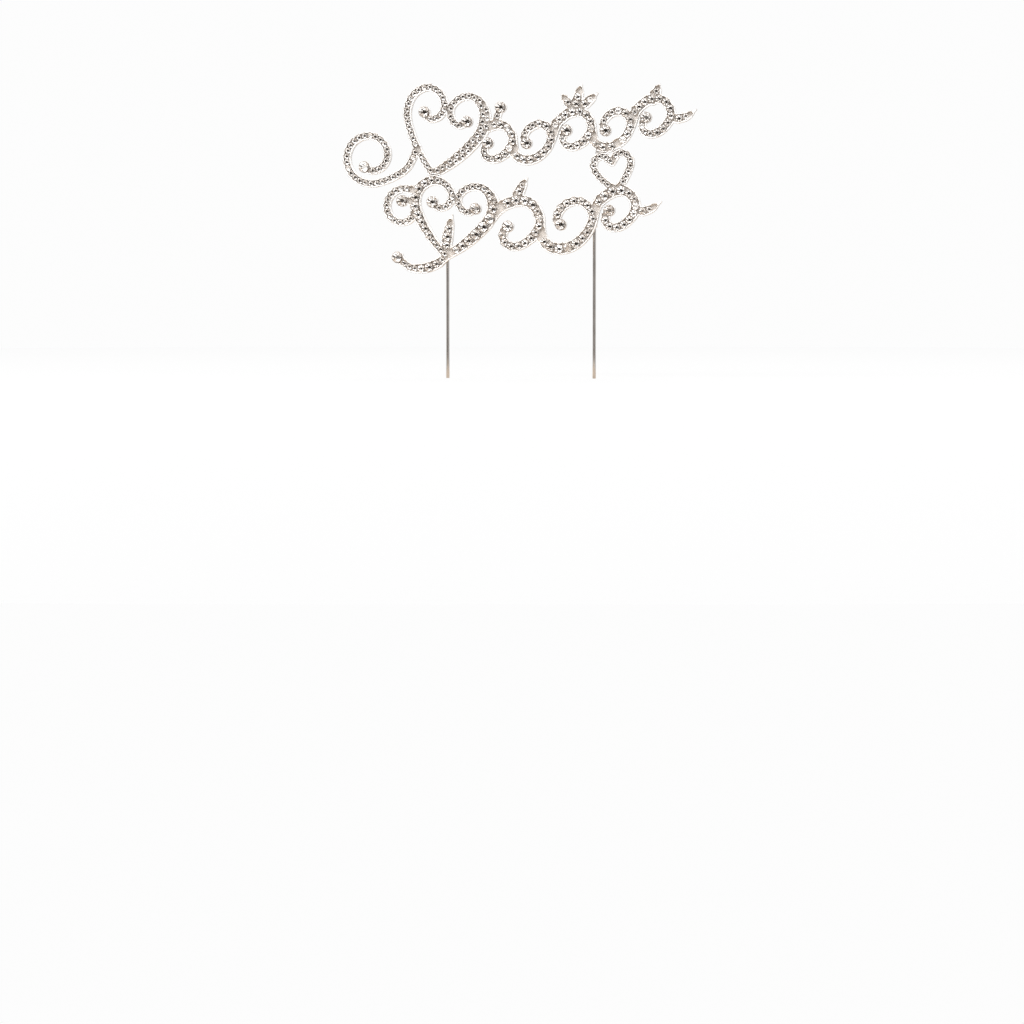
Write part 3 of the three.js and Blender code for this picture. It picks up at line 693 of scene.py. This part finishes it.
# Stakes. Bright-drawn steel rod, cut to length, the lower end ground to a point and the upper end
# chamfered so that it starts into its socket. Drawing leaves fine lines along the rod.
stake_nodes = ("left_stake", "right_stake")
stake_point = 5 * mm
stake_tip = 0.15 * mm
shoulder_length = 0.6 * mm
shoulder_taper = 0.06 * mm
shading_band = 0.3 * mm
stake_chamfer = 0.2 * mm
stake_sides = 48
line_spacing = 0.12 * mm
line_stretch = 0.02

drawn_steel, rod = new_finish("drawn_steel")
stretched = rod.node(
    "ShaderNodeMapping", {}, {"Vector": object_place(rod), "Scale": (1.0, 1.0, line_stretch)})
draw_lines = rod.node(
    "ShaderNodeTexNoise", {}, {"Vector": stretched, "Scale": 1 / line_spacing, "Detail": 2.0}, "Fac")
handling = grain(rod, 6 * mm, 4.0).eased(0.4, 0.8)
surface(rod, {
    "Base Color": handling.blend((0.6, 0.58, 0.56), (0.5, 0.48, 0.46)),
    "Metallic": 1.0,
    "Roughness": 0.04 + 0.03 * draw_lines + 0.03 * handling,
    "Normal": bumped(rod, draw_lines, 0.1, 0.02 * mm),
})

for node in stake_nodes:
    low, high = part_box(node)
    middle = (low + high) / 2
    radius = (high.x - low.x) / 2
    circle = compass(stake_sides)
    levels = [
        (circle, stake_tip, low.z),
        (circle, radius - shoulder_taper, low.z + stake_point - shoulder_length),
        (circle, radius, low.z + stake_point),
        (circle, radius, low.z + stake_point + shading_band),
        (circle, radius, high.z - stake_chamfer),
        (circle, radius - stake_chamfer, high.z),
    ]
    mesh = turned(levels, middle)
    piece = finished(node.replace("stake", "steel_rod"), mesh, [drawn_steel], node, crease=math.radians(20))


# Studio. A pale warm top stands for the soft one that the stakes go into. The camera sees a white room, but
# what the metal and crystal show is bright over and under the lens, darker level with it and behind.
white = (0.98, 0.98, 0.98)
lens_rise = 0.04
facing_lens = Vector((-math.sin(camera_azimuth), -math.cos(camera_azimuth), lens_rise))
lens_outer = math.cos(math.radians(12))
lens_inner = math.cos(math.radians(8))
floor_reach = 1.1
warm_reach = 0.36
floor_sides = 96
glow_share = 0.8
room_unevenness = 0.3

pale_floor, ground = new_finish("pale_floor")
seen = ground.node("ShaderNodeLightPath", {}, {}, "Is Camera Ray")
paint = grain(ground, 20 * mm, 4.0)
away = object_place(ground).part("Y")
sideways = object_place(ground).part("X")
to_sides_or_back = abs(sideways).larger(away).eased(0.4 * warm_reach, 0.8 * warm_reach)
to_front = (0 - away).eased(warm_reach, 1.4 * warm_reach)
floor_tone = paint.blend((0.9, 0.77, 0.65), (0.86, 0.73, 0.61))
floor_tone = to_sides_or_back.blend(floor_tone, (0.7, 0.69, 0.68))
floor_tone = to_front.blend(floor_tone, (0.22, 0.195, 0.175))
matt = ground.node("ShaderNodeBsdfDiffuse", {}, {"Color": floor_tone})
glow = ground.node("ShaderNodeEmission", {}, {"Color": (*white, 1), "Strength": 1.0})
shade = ground.node("ShaderNodeBsdfDiffuse", {}, {"Color": (0.97, 0.97, 0.97, 1)})
lit = ground.node("ShaderNodeMixShader", {}, {0: glow_share, 1: shade, 2: glow})
mixed = ground.node("ShaderNodeMixShader", {}, {0: seen, 1: matt, 2: lit})
ground.node("ShaderNodeOutputMaterial", {}, {"Surface": mixed})

mesh = bmesh.new()
bmesh.ops.create_circle(mesh, cap_ends=True, segments=floor_sides, radius=floor_reach)
floor_data = bpy.data.meshes.new("floor")
mesh.to_mesh(floor_data)
mesh.free()
floor_data.materials.append(pale_floor)
floor = linked("floor", floor_data)

room = bpy.data.worlds.new("white_room")
room.use_nodes = True
room.node_tree.nodes.clear()
bpy.context.scene.world = room
air = Wire(room.node_tree)
camera_ray = air.node("ShaderNodeLightPath", {}, {}, "Is Camera Ray")
diffuse_ray = air.node("ShaderNodeLightPath", {}, {}, "Is Diffuse Ray")
heading = air.node("ShaderNodeTexCoord", {}, {}, "Generated")
to_side = abs(heading.part("X"))
to_back = heading.part("Y")
upright = abs(heading.part("Z"))
blotches = air.node("ShaderNodeTexNoise", {}, {"Vector": heading, "Scale": 6.0, "Detail": 3.0}, "Fac")
uneven = room_unevenness * (blotches - 0.5)
in_front = (uneven - to_back).eased(0.2, 0.35)
beside_lens = to_side.eased(0.4, 0.47) * (1 - to_side.eased(0.76, 0.84))
opposite = air.node("ShaderNodeVectorMath", {"operation": "DOT_PRODUCT"}, {0: heading, 1: facing_lens}, "Value")
# The wall before the topper, the strip level with it, a dark hanging on either side, and the lens itself.
layers = [
    (in_front * (1 - (uneven + upright).eased(0.15, 0.3)), (1.6, 1.57, 1.53)),
    (in_front * (1 - upright.eased(0.03, 0.05)), (0.8, 0.76, 0.73)),
    (in_front * beside_lens * (1 - (uneven + upright).eased(0.3, 0.42)), (0.08, 0.068, 0.06)),
    (opposite.eased(lens_outer, lens_inner), (0.03, 0.025, 0.022)),
]
before = upright.eased(0.05, 0.4).blend((0.95, 0.935, 0.92), (4.0, 4.0, 4.02))
behind = (uneven + upright).eased(0.0, 0.6).blend((0.78, 0.765, 0.75), (1.5, 1.5, 1.51))
room_tone = (uneven + to_back).eased(-0.3, 0.0).blend(before, behind)
for share, tone in layers:
    room_tone = share.blend(room_tone, tone)
backdrop = camera_ray.blend(diffuse_ray.blend(room_tone, (0.6, 0.6, 0.6)), white)
sky = air.node("ShaderNodeBackground", {}, {"Color": backdrop, "Strength": 1.0})
air.node("ShaderNodeOutputWorld", {}, {"Surface": sky})

softboxes = {
    "key": {"place": (-0.8, -0.9, 0.95), "side": 0.5, "watts": 5.0},
    "fill": {"place": (1.0, -0.7, 0.5), "side": 0.6, "watts": 2.6},
    "top": {"place": (0.1, 0.35, 1.2), "side": 0.7, "watts": 3.4},
}
ornament_middle = Vector((0, 0, 95 * mm))
for name, box in softboxes.items():
    lamp = bpy.data.lights.new(name, "AREA")
    lamp.size = box["side"]
    lamp.energy = box["watts"]
    holder = linked(name, lamp)
    holder.location = box["place"]
    holder.rotation_euler = (ornament_middle - Vector(box["place"])).to_track_quat("-Z", "Y").to_euler()

bpy.context.scene.view_settings.view_transform = "Standard"
